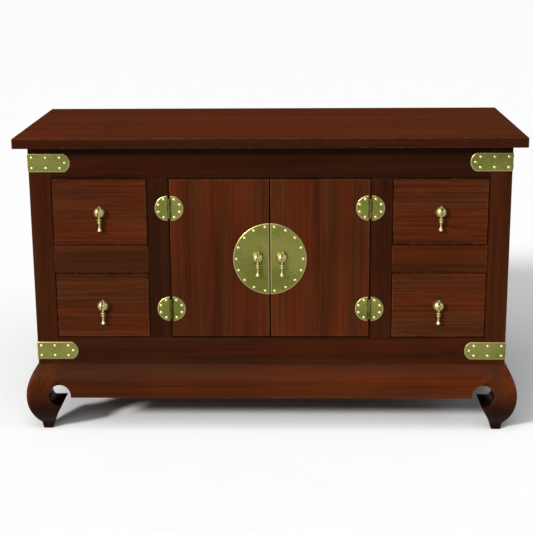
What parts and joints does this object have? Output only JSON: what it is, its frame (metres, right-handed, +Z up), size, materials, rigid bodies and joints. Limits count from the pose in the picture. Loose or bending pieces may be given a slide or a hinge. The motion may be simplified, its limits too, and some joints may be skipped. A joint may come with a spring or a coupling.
{
  "type": "storage cabinet",
  "caption": "Low storage cabinet in dark mahogany on bowed legs with hoof feet, with inset doors over a shelf, drawers each side, round brass lock plate, face hinges, straps and drop pulls",
  "frame": {"origin": "on the floor under the middle of the cabinet", "axes": "+X to the right along the width, +Y to the back, +Z up; the front faces -Y"},
  "size_m": [1.2, 0.48, 0.735],
  "materials": {
    "mahogany": "dark red-brown stain under satin lacquer",
    "inner_wood": "thinly stained, matt",
    "aged_brass": "brushed, slightly dulled",
    "steel": "bright"
  },
  "bodies": {
    "carcass": {"top_board": "mahogany", "corner_posts": "mahogany", "front_top_rail": "mahogany", "front_bottom_rail": "mahogany", "front_mullions": "mahogany", "drawer_dividers": "mahogany", "side_rails": "mahogany", "side_panels": "mahogany", "leg_front_left": "mahogany", "leg_front_right": "mahogany", "leg_rear_left": "mahogany", "leg_rear_right": "mahogany", "front_apron": "mahogany", "rear_apron": "mahogany", "side_aprons": "mahogany", "rear_rails": "inner_wood", "back_panel": "inner_wood", "partitions": "inner_wood", "bottom_board": "inner_wood", "cupboard_shelf": "inner_wood", "shelf_cleats": "inner_wood", "drawer_runners": "inner_wood", "drawer_stops": "inner_wood", "door_stop_strip": "inner_wood", "leg_dowels": "inner_wood", "corner_straps": "aged_brass", "frame_studs": "aged_brass", "hinge_frame_leaves": "aged_brass", "hinge_pins": "aged_brass", "door_magnets": "steel"},
    "left_door": {"left_door_panel": "mahogany", "left_door_hinge_leaves": "aged_brass", "left_door_lock_plate": "aged_brass", "left_door_studs": "aged_brass", "left_door_strike": "steel", "left_door_pull_mount": "aged_brass"},
    "left_door_drop": {"left_door_drop": "aged_brass"},
    "right_door": {"right_door_panel": "mahogany", "right_door_hinge_leaves": "aged_brass", "right_door_lock_plate": "aged_brass", "right_door_studs": "aged_brass", "right_door_strike": "steel", "right_door_pull_mount": "aged_brass"},
    "right_door_drop": {"right_door_drop": "aged_brass"},
    "upper_left_drawer": {"upper_left_drawer_front": "mahogany", "upper_left_drawer_box": "inner_wood", "upper_left_drawer_pull_mount": "aged_brass"},
    "upper_left_drawer_drop": {"upper_left_drawer_drop": "aged_brass"},
    "upper_right_drawer": {"upper_right_drawer_front": "mahogany", "upper_right_drawer_box": "inner_wood", "upper_right_drawer_pull_mount": "aged_brass"},
    "upper_right_drawer_drop": {"upper_right_drawer_drop": "aged_brass"},
    "lower_left_drawer": {"lower_left_drawer_front": "mahogany", "lower_left_drawer_box": "inner_wood", "lower_left_drawer_pull_mount": "aged_brass"},
    "lower_left_drawer_drop": {"lower_left_drawer_drop": "aged_brass"},
    "lower_right_drawer": {"lower_right_drawer_front": "mahogany", "lower_right_drawer_box": "inner_wood", "lower_right_drawer_pull_mount": "aged_brass"},
    "lower_right_drawer_drop": {"lower_right_drawer_drop": "aged_brass"}
  },
  "joints": [
    {"name": "left_door_hinge", "type": "hinge", "parent": "carcass", "child": "left_door", "pos_m": [-0.239, -0.2133, 0.437], "axis": [0, 0, -1], "range_deg": [0, 160]},
    {"name": "left_door_drop_swing", "type": "hinge", "parent": "left_door", "child": "left_door_drop", "pos_m": [-0.029, -0.2205, 0.442], "axis": [-1, 0, 0], "range_deg": [-2, 85]},
    {"name": "right_door_hinge", "type": "hinge", "parent": "carcass", "child": "right_door", "pos_m": [0.239, -0.2133, 0.437], "axis": [0, 0, 1], "range_deg": [0, 160]},
    {"name": "right_door_drop_swing", "type": "hinge", "parent": "right_door", "child": "right_door_drop", "pos_m": [0.029, -0.2205, 0.442], "axis": [-1, 0, 0], "range_deg": [-2, 85]},
    {"name": "upper_left_drawer_slide", "type": "slide", "parent": "carcass", "child": "upper_left_drawer", "axis": [0, 1, 0], "range_m": [-0.25, 0]},
    {"name": "upper_left_drawer_drop_swing", "type": "hinge", "parent": "upper_left_drawer", "child": "upper_left_drawer_drop", "pos_m": [-0.405, -0.219, 0.553], "axis": [-1, 0, 0], "range_deg": [-2, 85]},
    {"name": "upper_right_drawer_slide", "type": "slide", "parent": "carcass", "child": "upper_right_drawer", "axis": [0, 1, 0], "range_m": [-0.25, 0]},
    {"name": "upper_right_drawer_drop_swing", "type": "hinge", "parent": "upper_right_drawer", "child": "upper_right_drawer_drop", "pos_m": [0.405, -0.219, 0.553], "axis": [-1, 0, 0], "range_deg": [-2, 85]},
    {"name": "lower_left_drawer_slide", "type": "slide", "parent": "carcass", "child": "lower_left_drawer", "axis": [0, 1, 0], "range_m": [-0.25, 0]},
    {"name": "lower_left_drawer_drop_swing", "type": "hinge", "parent": "lower_left_drawer", "child": "lower_left_drawer_drop", "pos_m": [-0.405, -0.219, 0.321], "axis": [-1, 0, 0], "range_deg": [-2, 85]},
    {"name": "lower_right_drawer_slide", "type": "slide", "parent": "carcass", "child": "lower_right_drawer", "axis": [0, 1, 0], "range_m": [-0.25, 0]},
    {"name": "lower_right_drawer_drop_swing", "type": "hinge", "parent": "lower_right_drawer", "child": "lower_right_drawer_drop", "pos_m": [0.405, -0.219, 0.321], "axis": [-1, 0, 0], "range_deg": [-2, 85]}
  ]
}
